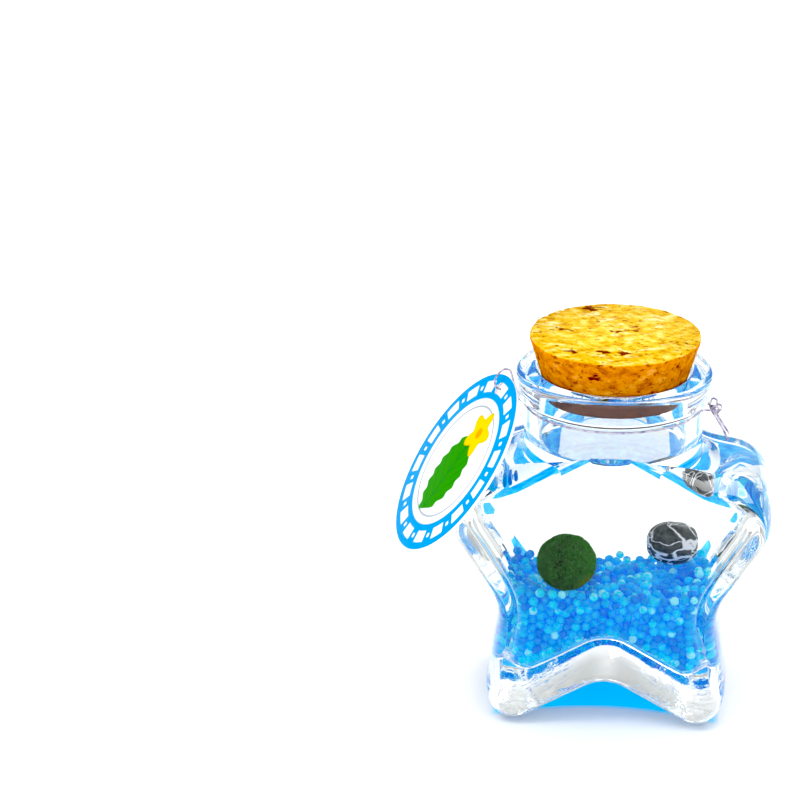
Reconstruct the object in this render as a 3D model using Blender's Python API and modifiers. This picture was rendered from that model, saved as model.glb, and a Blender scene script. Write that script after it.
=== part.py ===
"""Star-shaped glass jar with a moss ball: jar, cork, water, bead bed, moss ball, pebble, tag and thread.

Metres, +Z up. The jar stands on its two lower points at z = 0, its flat front faces -Y, and the
middle of its neck is on the Z axis.
"""
import math

import bmesh
import bpy
from mathutils import Matrix, Vector

MM = 0.001
GAP = 0.3 * MM                      # left between touching solids

# Star body. Half of the outline, from the notch between the feet round to the top: (x, z, radius).
STAR_OUTSIDE = (
    (0.0, 10.55, 7.0),              # notch between the feet
    (29.3, -6.25, 6.7),             # foot
    (24.4, 28.05, 14.0),            # waist, between foot and arm
    (42.7, 55.35, 9.5),             # arm
    (22.0, 59.25, 14.0),            # shoulder, between arm and neck
    (0.0, 71.25, 12.0),             # fifth point, hidden in the neck
)
STAR_INSIDE = (
    (0.0, 20.0, 8.0),
    (25.6, 5.2, 5.8),
    (21.8, 28.7, 15.5),
    (36.8, 52.8, 6.4),
    (20.5, 56.2, 17.0),
    (0.0, 66.0, 10.0),
)
ARC_STEP = math.radians(15)
HALF_DEPTH = 20.2 * MM              # middle of the jar to its flat front
FACE_WALL = 3.2 * MM                # front and back wall
OUTER_EDGE_INSET = 5.0              # mm from the outline in to the flat front
INNER_EDGE_INSET = 5.2
OUTER_EDGE_POWER = 3.4              # squareness of the body seen from the side
INNER_EDGE_POWER = 2.2              # the hollow is rounder
EDGE_ANGLES = (0, 10, 28, 52, 90)   # degrees, where the rounded side has its rings

# Neck, lip and bore.
NECK_RADIUS = 20.0 * MM
NECK_BOTTOM = 50.0 * MM             # hidden inside the body
LIP_BOTTOM = 73.9 * MM
LIP_TOP = 80.4 * MM
LIP_RADIUS = 22.1 * MM
BORE_RADIUS = 16.8 * MM
MOUTH_RADIUS = 17.6 * MM
MOUTH_FLARE = 0.8 * MM              # height of the flare at the mouth
TURN_STEPS = 48

# Cork.
CORK_TOP = 88.3 * MM
CORK_BOTTOM = 74.4 * MM
CORK_TOP_RADIUS = 19.1 * MM
CORK_BOTTOM_RADIUS = 14.9 * MM
CORK_EDGE = 0.4 * MM

# What is in the jar.
BED_TOP = 33.0 * MM
WATER_TOP = 64.2 * MM
BALL_RADIUS = 6.9 * MM
BALL_PLACE = Vector((-9.4, -8.6, 37.6)) * MM
PEBBLE_HALF_SIZE = Vector((6.3, 5.2, 5.3)) * MM
PEBBLE_PLACE = Vector((14.3, 6.0, 38.5)) * MM

# Tag: a thin round card that leans on the lip and the left arm.
TAG_RADIUS = 22.3 * MM
TAG_THICKNESS = 0.7 * MM
TAG_PLACE = Vector((-34.6, -8.8, 59.8)) * MM
TAG_HEADING = math.radians(-74.4)   # about Z, after the tilt
TAG_TILT = math.radians(54.6)       # from lying flat
TAG_TURN = math.radians(12.7)       # in the tag's own plane
TAG_HOLE_RADIUS = 1.5 * MM
TAG_HOLE_UP = 19.0 * MM             # from the tag's middle

# Thread: one length, tied at the right of the neck.
THREAD_RADIUS = 0.25 * MM
THREAD_RING = 20.6                  # mm, radius of its loop round the neck
THREAD_HEIGHT = 73.0                # mm
THREAD_POINTS = 78


def remove_everything():
    for thing in list(bpy.data.objects):
        bpy.data.objects.remove(thing, do_unlink=True)


def new_collection(name, hidden=False):
    collection = bpy.data.collections.new(name)
    bpy.context.scene.collection.children.link(collection)
    collection.hide_render = hidden
    return collection


def material(name, colour, roughness, metallic=0.0, transmission=0.0):
    made = bpy.data.materials.new(name)
    made.use_nodes = True
    shader = made.node_tree.nodes["Principled BSDF"]
    shader.inputs["Base Color"].default_value = (*colour, 1.0)
    shader.inputs["Roughness"].default_value = roughness
    shader.inputs["Metallic"].default_value = metallic
    shader.inputs["Transmission Weight"].default_value = transmission
    return made


def put(thing, collection, surface=None):
    for old in list(thing.users_collection):
        old.objects.unlink(thing)
    collection.objects.link(thing)
    if surface:
        thing.data.materials.clear()
        thing.data.materials.append(surface)
    return thing


def smooth(thing, limit=math.radians(35)):
    """Round faces shade smooth, and edges sharper than the limit stay crisp."""
    thing.data.shade_smooth()
    thing.data.set_sharp_from_angle(angle=limit)


# ---------------------------------------------------------------- outlines

def mirrored(half):
    """The whole outline's corners, counter-clockwise, from the half's."""
    return list(half) + [(-x, z, radius) for x, z, radius in reversed(half[1:-1])]


def inset_corners(corners, inset):
    """The corners moved inwards by the inset, with their radii kept concentric."""
    count = len(corners)
    moved = []
    for index, (x, z, radius) in enumerate(corners):
        here = Vector((x, z))
        back = (here - Vector(corners[index - 1][:2])).normalized()
        ahead = (Vector(corners[(index + 1) % count][:2]) - here).normalized()
        turn = back.x * ahead.y - back.y * ahead.x
        inward = (Vector((-back.y, back.x)) + Vector((-ahead.y, ahead.x))).normalized()
        reach = inset / inward.dot(Vector((-back.y, back.x)))
        spot = here + inward * reach
        moved.append((spot.x, spot.y, radius - math.copysign(inset, turn)))
    return moved


def rounded_outline(corners):
    """Points of the outline, in metres, with each corner drawn as an arc."""
    count = len(corners)
    points = []
    for index, (x, z, radius) in enumerate(corners):
        here = Vector((x, z))
        to_back = (Vector(corners[index - 1][:2]) - here).normalized()
        to_ahead = (Vector(corners[(index + 1) % count][:2]) - here).normalized()
        half_angle = to_back.angle(to_ahead) / 2
        centre = here + (to_back + to_ahead).normalized() * radius / math.sin(half_angle)
        start = here + to_back * radius / math.tan(half_angle) - centre
        sweep = start.angle_signed(here + to_ahead * radius / math.tan(half_angle) - centre)
        steps = max(2, round(abs(sweep) / ARC_STEP))
        for step in range(steps + 1):
            spoke = start.copy()
            spoke.rotate(Matrix.Rotation(-sweep * step / steps, 2))
            points.append((centre + spoke) * MM)
    return points


# ---------------------------------------------------------------- shared makers

def side_rings(half_depth, edge_inset, power):
    """(depth, inset) of each ring from back to front: the side is a superellipse."""
    front = []
    for degrees in EDGE_ANGLES:
        angle = math.radians(degrees)
        depth = half_depth * math.cos(angle) ** (2 / power)
        front.append((depth, edge_inset * (1 - math.sin(angle) ** (2 / power))))
    front[-1] = (0.0, 0.0)
    return front + [(-depth, inset) for depth, inset in reversed(front[:-1])]


def star_body(name, corners, half_depth, edge_inset, power, collection):
    """A star with flat front and back, lofted through rings that grow towards its middle."""
    mesh = bmesh.new()
    rings = []
    for depth, inset in side_rings(half_depth, edge_inset, power):
        outline = rounded_outline(inset_corners(corners, inset))
        rings.append([mesh.verts.new((spot.x, depth, spot.y)) for spot in outline])
    mesh.faces.new(rings[0])
    mesh.faces.new(reversed(rings[-1]))
    for ring, ahead in zip(rings, rings[1:]):
        for index in range(len(ring)):
            mesh.faces.new((ring[index - 1], ahead[index - 1], ahead[index], ring[index]))
    bmesh.ops.recalc_face_normals(mesh, faces=mesh.faces)
    data = bpy.data.meshes.new(name)
    mesh.to_mesh(data)
    mesh.free()
    body = bpy.data.objects.new(name, data)
    collection.objects.link(body)
    smooth(body)
    return body


def turned(name, profile, collection):
    """A solid of revolution from (radius, height) points that run down its outer side."""
    data = bpy.data.meshes.new(name)
    mesh = bmesh.new()
    verts = [mesh.verts.new((radius, 0.0, height)) for radius, height in profile]
    for upper, lower in zip(verts, verts[1:]):
        mesh.edges.new((upper, lower))
    mesh.to_mesh(data)
    mesh.free()
    made = bpy.data.objects.new(name, data)
    collection.objects.link(made)
    screw = made.modifiers.new("turn", "SCREW")
    screw.steps = TURN_STEPS
    screw.render_steps = TURN_STEPS
    screw.use_merge_vertices = True
    screw.merge_threshold = 0.00001
    screw.use_normal_calculate = True
    return made


def box(name, low, high, collection):
    bpy.ops.mesh.primitive_cube_add(size=1.0, location=(Vector(low) + Vector(high)) / 2)
    made = bpy.context.object
    made.name = name
    made.data.transform(Matrix.Diagonal((*(Vector(high) - Vector(low)), 1.0)))
    return put(made, collection)


def ellipsoid(name, half_size, place, collection):
    bpy.ops.mesh.primitive_uv_sphere_add(segments=24, ring_count=14, radius=1.0, location=place)
    made = bpy.context.object
    made.name = name
    made.data.transform(Matrix.Diagonal((*half_size, 1.0)))
    return put(made, collection)


def combine(thing, other, operation):
    boolean = thing.modifiers.new(f"{operation.lower()} {other.name}", "BOOLEAN")
    boolean.operation = operation
    boolean.object = other
    boolean.solver = "EXACT"


def bore_profile(radius, bottom):
    """The hole down the neck, from above the mouth: it flares a little where the cork enters."""
    flare_bottom = LIP_TOP - MOUTH_FLARE
    mouth = radius + MOUTH_RADIUS - BORE_RADIUS
    above = LIP_TOP + MOUTH_FLARE
    return [(0.0, above), (mouth, above), (mouth, LIP_TOP), (radius, flare_bottom),
            (radius, bottom), (0.0, bottom)]


def jar_hollow(name, shrink, collection):
    """The space inside the jar, made smaller all round by the shrink."""
    corners = inset_corners(mirrored(STAR_INSIDE), shrink / MM)
    hollow = star_body(name, corners, HALF_DEPTH - FACE_WALL - shrink, INNER_EDGE_INSET,
                       INNER_EDGE_POWER, collection)
    bore = turned(f"{name} bore", bore_profile(BORE_RADIUS - shrink, NECK_BOTTOM + shrink), collection)
    combine(hollow, bore, "UNION")
    return hollow


# ---------------------------------------------------------------- the pieces

def make_glass_jar(parts, cutters):
    jar = star_body("glass_jar", mirrored(STAR_OUTSIDE), HALF_DEPTH, OUTER_EDGE_INSET,
                    OUTER_EDGE_POWER, parts)
    put(jar, parts, material("clear_glass", (0.93, 0.97, 0.97), 0.02, transmission=1.0))
    neck = turned("neck and lip", [
        (0.0, LIP_TOP),
        (LIP_RADIUS - 2.2 * MM, LIP_TOP),
        (LIP_RADIUS - 1.0 * MM, LIP_TOP - 0.2 * MM),
        (LIP_RADIUS - 0.3 * MM, LIP_TOP - 0.8 * MM),
        (LIP_RADIUS, LIP_TOP - 1.7 * MM),
        (LIP_RADIUS, LIP_TOP - 4.9 * MM),
        (LIP_RADIUS - 0.3 * MM, LIP_TOP - 5.7 * MM),
        (LIP_RADIUS - 1.1 * MM, LIP_BOTTOM + 0.2 * MM),
        (NECK_RADIUS, LIP_BOTTOM),
        (NECK_RADIUS, NECK_BOTTOM),
        (0.0, NECK_BOTTOM),
    ], cutters)
    combine(jar, neck, "UNION")
    hollow = jar_hollow("jar hollow", 0.0, cutters)
    combine(jar, hollow, "DIFFERENCE")
    table = box("table", (-0.05, -0.05, -0.02), (0.05, 0.05, 0.0), cutters)
    combine(jar, table, "DIFFERENCE")
    return jar


def make_cork(parts):
    bpy.ops.mesh.primitive_cone_add(
        vertices=TURN_STEPS, radius1=CORK_BOTTOM_RADIUS, radius2=CORK_TOP_RADIUS,
        depth=CORK_TOP - CORK_BOTTOM, location=(0.0, 0.0, (CORK_TOP + CORK_BOTTOM) / 2))
    cork = bpy.context.object
    cork.name = "cork_stopper"
    put(cork, parts, material("cork", (0.80, 0.50, 0.16), 0.85))
    smooth(cork)
    edge = cork.modifiers.new("worn edge", "BEVEL")
    edge.width = CORK_EDGE
    edge.segments = 2
    edge.limit_method = "ANGLE"
    edge.angle_limit = math.radians(40)
    return cork


def make_pocket(name, half_size, place, cutters):
    """A cutter that leaves the gap round a piece that lies in the water and the bed."""
    return ellipsoid(name, Vector(half_size) + Vector((GAP, GAP, GAP)), place, cutters)


def make_contents(parts, cutters):
    """The bead bed and the water: the hollow's lower and upper parts, less what lies in them."""
    ball_size = (BALL_RADIUS, BALL_RADIUS, BALL_RADIUS)
    pockets = [make_pocket("ball pocket", ball_size, BALL_PLACE, cutters),
               make_pocket("pebble pocket", PEBBLE_HALF_SIZE, PEBBLE_PLACE, cutters)]
    bed = jar_hollow("bead_bed", GAP, cutters)
    put(bed, parts, material("azure_beads", (0.02, 0.45, 0.92), 0.15, transmission=0.5))
    below = box("bed slab", (-0.05, -0.05, 0.0), (0.05, 0.05, BED_TOP), cutters)
    combine(bed, below, "INTERSECT")
    water = jar_hollow("water", GAP, cutters)
    put(water, parts, material("water", (0.90, 0.98, 1.0), 0.0, transmission=1.0))
    above = box("water slab", (-0.05, -0.05, BED_TOP + GAP), (0.05, 0.05, WATER_TOP), cutters)
    combine(water, above, "INTERSECT")
    for pocket in pockets:
        combine(bed, pocket, "DIFFERENCE")
        combine(water, pocket, "DIFFERENCE")


def make_moss_ball(parts):
    half_size = (BALL_RADIUS, BALL_RADIUS, BALL_RADIUS)
    ball = ellipsoid("moss_ball", half_size, BALL_PLACE, parts)
    put(ball, parts, material("moss", (0.03, 0.16, 0.02), 0.9))
    smooth(ball)


def make_pebble(parts):
    pebble = ellipsoid("black_pebble", PEBBLE_HALF_SIZE, PEBBLE_PLACE, parts)
    put(pebble, parts, material("black_stone", (0.02, 0.025, 0.03), 0.35))
    smooth(pebble)


def tag_placement():
    turn = Matrix.Rotation(TAG_TURN, 4, "Z")
    tilt = Matrix.Rotation(TAG_TILT, 4, "X")
    heading = Matrix.Rotation(TAG_HEADING, 4, "Z")
    return Matrix.Translation(TAG_PLACE) @ heading @ tilt @ turn


def make_tag(parts, cutters):
    bpy.ops.mesh.primitive_cylinder_add(vertices=64, radius=TAG_RADIUS, depth=TAG_THICKNESS)
    tag = bpy.context.object
    tag.name = "hang_tag"
    tag.matrix_world = tag_placement()
    put(tag, parts, material("printed_card", (0.05, 0.55, 0.90), 0.5))
    smooth(tag)
    bpy.ops.mesh.primitive_cylinder_add(vertices=24, radius=TAG_HOLE_RADIUS,
                                        depth=4 * TAG_THICKNESS)
    hole = bpy.context.object
    hole.name = "tag hole"
    hole.matrix_world = tag_placement() @ Matrix.Translation((0.0, TAG_HOLE_UP, 0.0))
    put(hole, cutters)
    combine(tag, hole, "DIFFERENCE")


def ring_route(first, last, count):
    """Points in mm round the neck, between two angles in degrees."""
    route = []
    for index in range(count):
        angle = math.radians(first + (last - first) * index / (count - 1))
        route.append((THREAD_RING * math.cos(angle), THREAD_RING * math.sin(angle), THREAD_HEIGHT))
    return route


def thread_route():
    """The thread's own points in mm: tail, knot, round the front, tag, round the back, tail."""
    tail_and_knot = [
        (25.8, -4.6, 65.4), (24.7, -4.3, 67.6), (23.3, -3.9, 69.9), (22.1, -3.3, 71.6),
        (21.5, -2.2, 72.6), (21.9, -1.3, 74.0), (23.0, -2.1, 74.0), (22.6, -3.8, 72.9),
        (21.3, -4.9, 72.7),
    ]
    tag_loop = [
        (-21.5, -2.6, 73.1), (-23.4, -2.1, 73.9), (-25.2, -1.9, 74.8), (-26.4, -2.2, 75.6),
        (-26.5, -1.6, 77.2), (-25.0, -0.7, 79.0), (-23.4, -0.1, 78.8), (-22.8, 0.2, 77.0),
        (-22.3, 0.8, 74.9), (-21.2, 2.2, 73.3),
    ]
    knot_and_tail = [
        (21.0, -0.4, 72.6), (22.2, -1.0, 71.6), (23.4, -1.7, 70.0), (24.7, -2.5, 68.2),
        (26.0, -3.1, 66.4),
    ]
    front = ring_route(-18, -168, 8)
    back = ring_route(170, 8, 8)
    return tail_and_knot + front + tag_loop + back + knot_and_tail


def smooth_route(route, count):
    """Evenly spaced points on a Catmull-Rom curve through the route."""
    spots = [Vector(spot) for spot in route]
    spots = [2 * spots[0] - spots[1]] + spots + [2 * spots[-1] - spots[-2]]
    fine = []
    for a, b, c, d in zip(spots, spots[1:], spots[2:], spots[3:]):
        for step in range(20):
            t = step / 20
            fine.append(0.5 * (2 * b + (c - a) * t + (2 * a - 5 * b + 4 * c - d) * t ** 2
                               + (3 * b - a - 3 * c + d) * t ** 3))
    fine.append(spots[-2])
    along = [0.0]
    for before, after in zip(fine, fine[1:]):
        along.append(along[-1] + (after - before).length)
    even = []
    index = 0
    for number in range(count):
        wanted = along[-1] * number / (count - 1)
        while index < len(fine) - 2 and along[index + 1] < wanted:
            index += 1
        share = (wanted - along[index]) / (along[index + 1] - along[index])
        even.append(fine[index].lerp(fine[index + 1], min(max(share, 0.0), 1.0)) * MM)
    return even


def make_thread(parts):
    data = bpy.data.curves.new("tag_thread", "CURVE")
    data.dimensions = "3D"
    data.bevel_depth = THREAD_RADIUS
    data.bevel_resolution = 2
    data.use_fill_caps = True
    points = smooth_route(thread_route(), THREAD_POINTS)
    spline = data.splines.new("POLY")
    spline.points.add(len(points) - 1)
    for point, spot in zip(spline.points, points):
        point.co = (*spot, 1.0)
    thread = bpy.data.objects.new("tag_thread", data)
    parts.objects.link(thread)
    thread.data.materials.append(material("nylon_thread", (0.85, 0.85, 0.90), 0.4))


def main():
    remove_everything()
    parts = new_collection("moss ball in star jar")
    cutters = new_collection("cutters", hidden=True)
    jar = make_glass_jar(parts, cutters)
    make_cork(parts)
    make_contents(parts, cutters)
    make_moss_ball(parts)
    make_pebble(parts)
    make_tag(parts, cutters)
    make_thread(parts)
    for cutter in cutters.objects:
        cutter.display_type = "WIRE"
        cutter.hide_render = True
    bpy.context.view_layer.objects.active = jar


main()
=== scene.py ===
import math

import bpy
import numpy as np
from mathutils import Matrix, Vector, noise


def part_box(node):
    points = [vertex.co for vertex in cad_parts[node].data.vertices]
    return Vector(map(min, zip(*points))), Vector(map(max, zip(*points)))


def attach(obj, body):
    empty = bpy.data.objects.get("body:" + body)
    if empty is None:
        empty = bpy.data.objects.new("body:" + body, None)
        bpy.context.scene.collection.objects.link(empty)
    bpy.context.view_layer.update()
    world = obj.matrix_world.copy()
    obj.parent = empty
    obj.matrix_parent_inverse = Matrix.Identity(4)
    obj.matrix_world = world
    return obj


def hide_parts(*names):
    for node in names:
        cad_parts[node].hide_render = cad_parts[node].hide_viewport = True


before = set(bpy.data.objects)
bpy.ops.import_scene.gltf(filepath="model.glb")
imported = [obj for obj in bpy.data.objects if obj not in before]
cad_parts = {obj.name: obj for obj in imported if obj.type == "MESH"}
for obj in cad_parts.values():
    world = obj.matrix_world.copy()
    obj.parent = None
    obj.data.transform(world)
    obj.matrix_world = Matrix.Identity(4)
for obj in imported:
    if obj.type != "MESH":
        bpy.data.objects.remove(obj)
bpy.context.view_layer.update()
bpy.ops.object.select_all(action="DESELECT")

MM = 0.001

# ------------------------------------------------------------------ camera
# A long lens a little above the jar and a touch to its right, as a product shot is taken. The jar
# stands to the right of the middle of the frame.
camera_data = bpy.data.cameras.new("camera")
camera_data.lens = 145.4
camera_data.sensor_width = 36.0


def put_in_scene(name, data):
    """An object for the data, linked to the scene."""
    made = bpy.data.objects.new(name, data)
    bpy.context.scene.collection.objects.link(made)
    return made


camera = put_in_scene("camera", camera_data)
camera.location = (0.01063, -0.67086, 0.34820)
camera.rotation_euler = (math.radians(90 - 22.4), 0.0, math.radians(5))
bpy.context.scene.camera = camera

# ------------------------------------------------------------------ tag thread
# One length of clear nylon thread. It goes once round the neck under the lip, out through the tag's
# hole and back over the tag's edge, and is knotted at the right with two short tails.
THREAD_RING = 20.6
THREAD_HEIGHT = 73.0
THREAD_THICKNESS = 0.5 * MM
KNOT_PLACE = Vector((22.9, -3.4, 72.5))
KNOT_SIZE = 0.42
KNOT_POINTS = 72


def ring_route(first, last, count):
    route = []
    for index in range(count):
        angle = math.radians(first + (last - first) * index / (count - 1))
        route.append((THREAD_RING * math.cos(angle), THREAD_RING * math.sin(angle), THREAD_HEIGHT))
    return route


tail_and_knot = [
    (25.8, -4.6, 65.4), (24.7, -4.3, 67.6), (23.3, -3.9, 69.9), (22.1, -3.3, 71.6),
    (21.5, -2.2, 72.6), (21.9, -1.3, 74.0), (23.0, -2.1, 74.0), (22.6, -3.8, 72.9),
    (21.3, -4.9, 72.7),
]
tag_loop = [
    (-21.5, -2.6, 73.1), (-23.4, -2.1, 73.9), (-25.2, -1.9, 74.8), (-26.4, -2.2, 75.6),
    (-26.5, -1.6, 77.2), (-25.0, -0.7, 79.0), (-23.4, -0.1, 78.8), (-22.8, 0.2, 77.0),
    (-22.3, 0.8, 74.9), (-21.2, 2.2, 73.3),
]
knot_and_tail = [
    (21.0, -0.4, 72.6), (22.2, -1.0, 71.6), (23.4, -1.7, 70.0), (24.7, -2.5, 68.2),
    (26.0, -3.1, 66.4),
]
thread_route = (tail_and_knot + ring_route(-18, -168, 8) + tag_loop
                + ring_route(170, 8, 8) + knot_and_tail)


def smooth_route(route, steps=6):
    """Points in metres on a Catmull-Rom curve through the route."""
    spots = [Vector(spot) for spot in route]
    spots = [2 * spots[0] - spots[1]] + spots + [2 * spots[-1] - spots[-2]]
    fine = []
    for a, b, c, d in zip(spots, spots[1:], spots[2:], spots[3:]):
        for step in range(steps):
            t = step / steps
            fine.append(0.5 * (2 * b + (c - a) * t + (2 * a - 5 * b + 4 * c - d) * t ** 2
                               + (3 * b - a - 3 * c + d) * t ** 3) * MM)
    fine.append(spots[-2] * MM)
    return fine


thread_line = smooth_route(thread_route)


def tube(name, points, roundness):
    """A round thread along the points, as a curve with one spline."""
    curve = bpy.data.curves.new(name, "CURVE")
    curve.dimensions = "3D"
    curve.bevel_depth = THREAD_THICKNESS / 2
    curve.bevel_resolution = roundness
    curve.splines.new("POLY").points.add(len(points) - 1)
    for point, spot in zip(curve.splines[0].points, points):
        point.co = (*spot, 1.0)
    return put_in_scene(name, curve)


thread = tube("nylon_thread", thread_line, 3)
thread.data.use_fill_caps = True

# The knot is a small tight trefoil over the crossing.
knot_line = []
for index in range(KNOT_POINTS):
    turn = 2 * math.pi * index / KNOT_POINTS
    loop = Vector((math.sin(turn) + 2 * math.sin(2 * turn), -math.sin(3 * turn),
                   math.cos(turn) - 2 * math.cos(2 * turn))) * KNOT_SIZE
    knot_line.append((KNOT_PLACE + loop) * MM)
knot = tube("thread_knot", knot_line, 2)
knot.data.splines[0].use_cyclic_u = True


def new_material(name, **plain):
    """A material with plain values on its shader, and that shader."""
    made = bpy.data.materials.new(name)
    made.use_nodes = True
    shader = made.node_tree.nodes["Principled BSDF"]
    for socket, value in plain.items():
        shader.inputs[socket.replace("_", " ")].default_value = value
    return made, shader


def join(source, target):
    """Link two sockets of one node tree."""
    target.id_data.links.new(source, target)


def own_place(shader):
    """The piece's own coordinates, which its patterns follow."""
    return shader.id_data.nodes.new("ShaderNodeTexCoord").outputs["Object"]


def noise_over(place, scale, detail=2.0):
    """Noise over the given coordinates."""
    texture = place.id_data.nodes.new("ShaderNodeTexNoise")
    texture.inputs["Scale"].default_value = scale
    texture.inputs["Detail"].default_value = detail
    join(place, texture.inputs["Vector"])
    return texture.outputs["Fac"]


def ramp(value, *stops):
    """Colours blended between stops, each a position and a colour."""
    blend = value.id_data.nodes.new("ShaderNodeValToRGB")
    colours = blend.color_ramp.elements
    for end in (0, -1):
        colours[end].position = stops[end][0]
        colours[end].color = (*stops[end][1], 1.0)
    for position, colour in stops[1:-1]:
        colours.new(position).color = (*colour, 1.0)
    join(value, blend.inputs["Fac"])
    return blend.outputs["Color"]


nylon, shader = new_material("clear_nylon", Roughness=0.18, Transmission_Weight=0.55, IOR=1.5)
glints = noise_over(own_place(shader), 900.0)
join(ramp(glints, (0.35, (0.35, 0.30, 0.48)), (0.62, (0.90, 0.86, 0.94))),
     shader.inputs["Base Color"])
thread.data.materials.append(nylon)
knot.data.materials.append(nylon)
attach(knot, "root")
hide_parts("tag_thread")

# ------------------------------------------------------------------ glass jar
# A thick pressed-glass star with flat faces and soft edges. Its fifth point is a short round neck
# with a banded lip, and the shoulders flare from the neck's foot out to the arms.
STAR_OUTSIDE = (
    (0.0, 10.55, 7.0), (29.3, -6.25, 6.7), (24.4, 28.05, 14.0), (42.7, 55.35, 9.5),
    (22.0, 59.25, 14.0), (0.0, 71.25, 12.0),
)
STAR_INSIDE = (
    (0.0, 20.0, 8.0), (25.6, 5.2, 5.8), (21.8, 28.7, 15.5), (36.8, 52.8, 6.4),
    (20.5, 56.2, 17.0), (0.0, 66.0, 10.0),
)
HALF_DEPTH = 20.2
HOLLOW_HALF_DEPTH = 17.0
EDGE_INSET = 5.0
HOLLOW_EDGE_INSET = 5.2
EDGE_POWER = 3.4
HOLLOW_EDGE_POWER = 2.2
EDGE_STEPS = 9
ARC_STEP = math.radians(6)
TURN_STEPS = 96
NECK_RADIUS = 20.0
NECK_RINGS = (71.0, 69.0, 67.4, 66.6, 66.0, 65.4, 64.0, 52.0)
BORE_RADIUS = 16.8
LIP_TOP = 80.4
WATER_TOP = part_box("water")[1].z / MM


def rounded_outline(half, inset=0.0):
    """The whole star's outline in mm, counter-clockwise, moved inwards by the inset."""
    corners = list(half) + [(-x, z, radius) for x, z, radius in reversed(half[1:-1])]
    count = len(corners)
    points = []
    for index, (x, z, radius) in enumerate(corners):
        here = Vector((x, z))
        back = (Vector(corners[index - 1][:2]) - here).normalized()
        ahead = (Vector(corners[(index + 1) % count][:2]) - here).normalized()
        turn = -back.x * ahead.y + back.y * ahead.x
        half_angle = back.angle(ahead) / 2
        centre = here + (back + ahead).normalized() * radius / math.sin(half_angle)
        start = here + back * radius / math.tan(half_angle) - centre
        end = here + ahead * radius / math.tan(half_angle) - centre
        sweep = start.angle_signed(end)
        size = (radius - math.copysign(inset, turn)) / radius
        steps = max(2, round(abs(sweep) / ARC_STEP))
        for step in range(steps + 1):
            spoke = start * size
            spoke.rotate(Matrix.Rotation(-sweep * step / steps, 2))
            points.append(centre + spoke)
    return points


def side_inset(share, edge_inset, power):
    """How far the side has drawn in, at a share of the half depth."""
    return edge_inset * (1 - max(0.0, 1 - share ** power) ** (1 / power))


def take_up(piece):
    """Make the piece the only selected object."""
    bpy.ops.object.select_all(action="DESELECT")
    bpy.context.view_layer.objects.active = piece
    piece.select_set(True)


def finish_mesh(piece):
    """Merge doubled corners and face everything outwards."""
    take_up(piece)
    bpy.ops.object.mode_set(mode="EDIT")
    bpy.ops.mesh.select_all(action="SELECT")
    bpy.ops.mesh.remove_doubles(threshold=0.000005)
    bpy.ops.mesh.normals_make_consistent(inside=False)
    bpy.ops.mesh.select_all(action="DESELECT")
    bpy.ops.object.mode_set(mode="OBJECT")


def star_blank(name, half, half_depth, edge_inset, power, swell=0.0):
    """A solid star: a flat outline, inset and lifted ring by ring, then mirrored front to back."""
    outline = rounded_outline(half, -swell)
    bpy.ops.mesh.primitive_circle_add(vertices=len(outline), radius=0.03, fill_type="NGON")
    blank = bpy.context.object
    blank.name = name
    for vert, spot in zip(blank.data.vertices, outline):
        vert.co = (spot.x * MM, 0.0, spot.y * MM)
    bpy.ops.object.mode_set(mode="EDIT")
    bpy.ops.mesh.select_all(action="SELECT")
    bpy.ops.mesh.normals_make_consistent(inside=False)
    depth, drawn = 0.0, 0.0
    for step in range(1, EDGE_STEPS + 1):
        share = math.cos(math.pi / 2 * (1 - step / EDGE_STEPS)) ** (2 / power)
        inset = side_inset(share, edge_inset, power)
        bpy.ops.mesh.inset(thickness=(inset - drawn) * MM,
                           depth=(share * (half_depth + swell) - depth) * MM)
        depth, drawn = share * (half_depth + swell), inset
    bpy.ops.object.mode_set(mode="OBJECT")
    mirror = blank.modifiers.new("front and back", "MIRROR")
    mirror.use_axis = (False, True, False)
    mirror.merge_threshold = 0.000005
    bpy.ops.object.modifier_apply(modifier=mirror.name)
    finish_mesh(blank)
    return blank


def turned(name, profile):
    """A solid of revolution from (radius, height) points in mm, spun about the neck's middle."""
    data = bpy.data.meshes.new(name)
    data.from_pydata([(radius * MM, 0.0, height * MM) for radius, height in profile],
                     [(index, index + 1) for index in range(len(profile) - 1)], [])
    piece = put_in_scene(name, data)
    take_up(piece)
    bpy.ops.object.mode_set(mode="EDIT")
    bpy.ops.mesh.select_all(action="SELECT")
    bpy.ops.mesh.spin(steps=TURN_STEPS, angle=2 * math.pi, center=(0, 0, 0), axis=(0, 0, 1))
    bpy.ops.object.mode_set(mode="OBJECT")
    finish_mesh(piece)
    return piece


def combine(piece, other, operation):
    """Join or cut with another solid, which is used up."""
    take_up(piece)
    boolean = piece.modifiers.new("join", "BOOLEAN")
    boolean.operation = operation
    boolean.object = other
    boolean.solver = "EXACT"
    boolean.material_mode = "TRANSFER"
    bpy.ops.object.modifier_apply(modifier=boolean.name)
    bpy.data.objects.remove(other, do_unlink=True)


def block(low, high):
    """A plain block in mm, to cut with."""
    bpy.ops.object.select_all(action="DESELECT")
    bpy.ops.mesh.primitive_cube_add(size=1.0)
    piece = bpy.context.object
    piece.data.transform(Matrix.Translation((Vector(low) + Vector(high)) / 2 * MM)
                         @ Matrix.Diagonal((*((Vector(high) - Vector(low)) * MM), 1.0)))
    return piece


def quarter(centre, size, first, last, steps):
    """Points of an elliptical arc, in degrees, for a turned profile."""
    arc = []
    for step in range(steps + 1):
        angle = math.radians(first + (last - first) * step / steps)
        arc.append((centre[0] + size[0] * math.cos(angle), centre[1] + size[1] * math.sin(angle)))
    return arc


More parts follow.
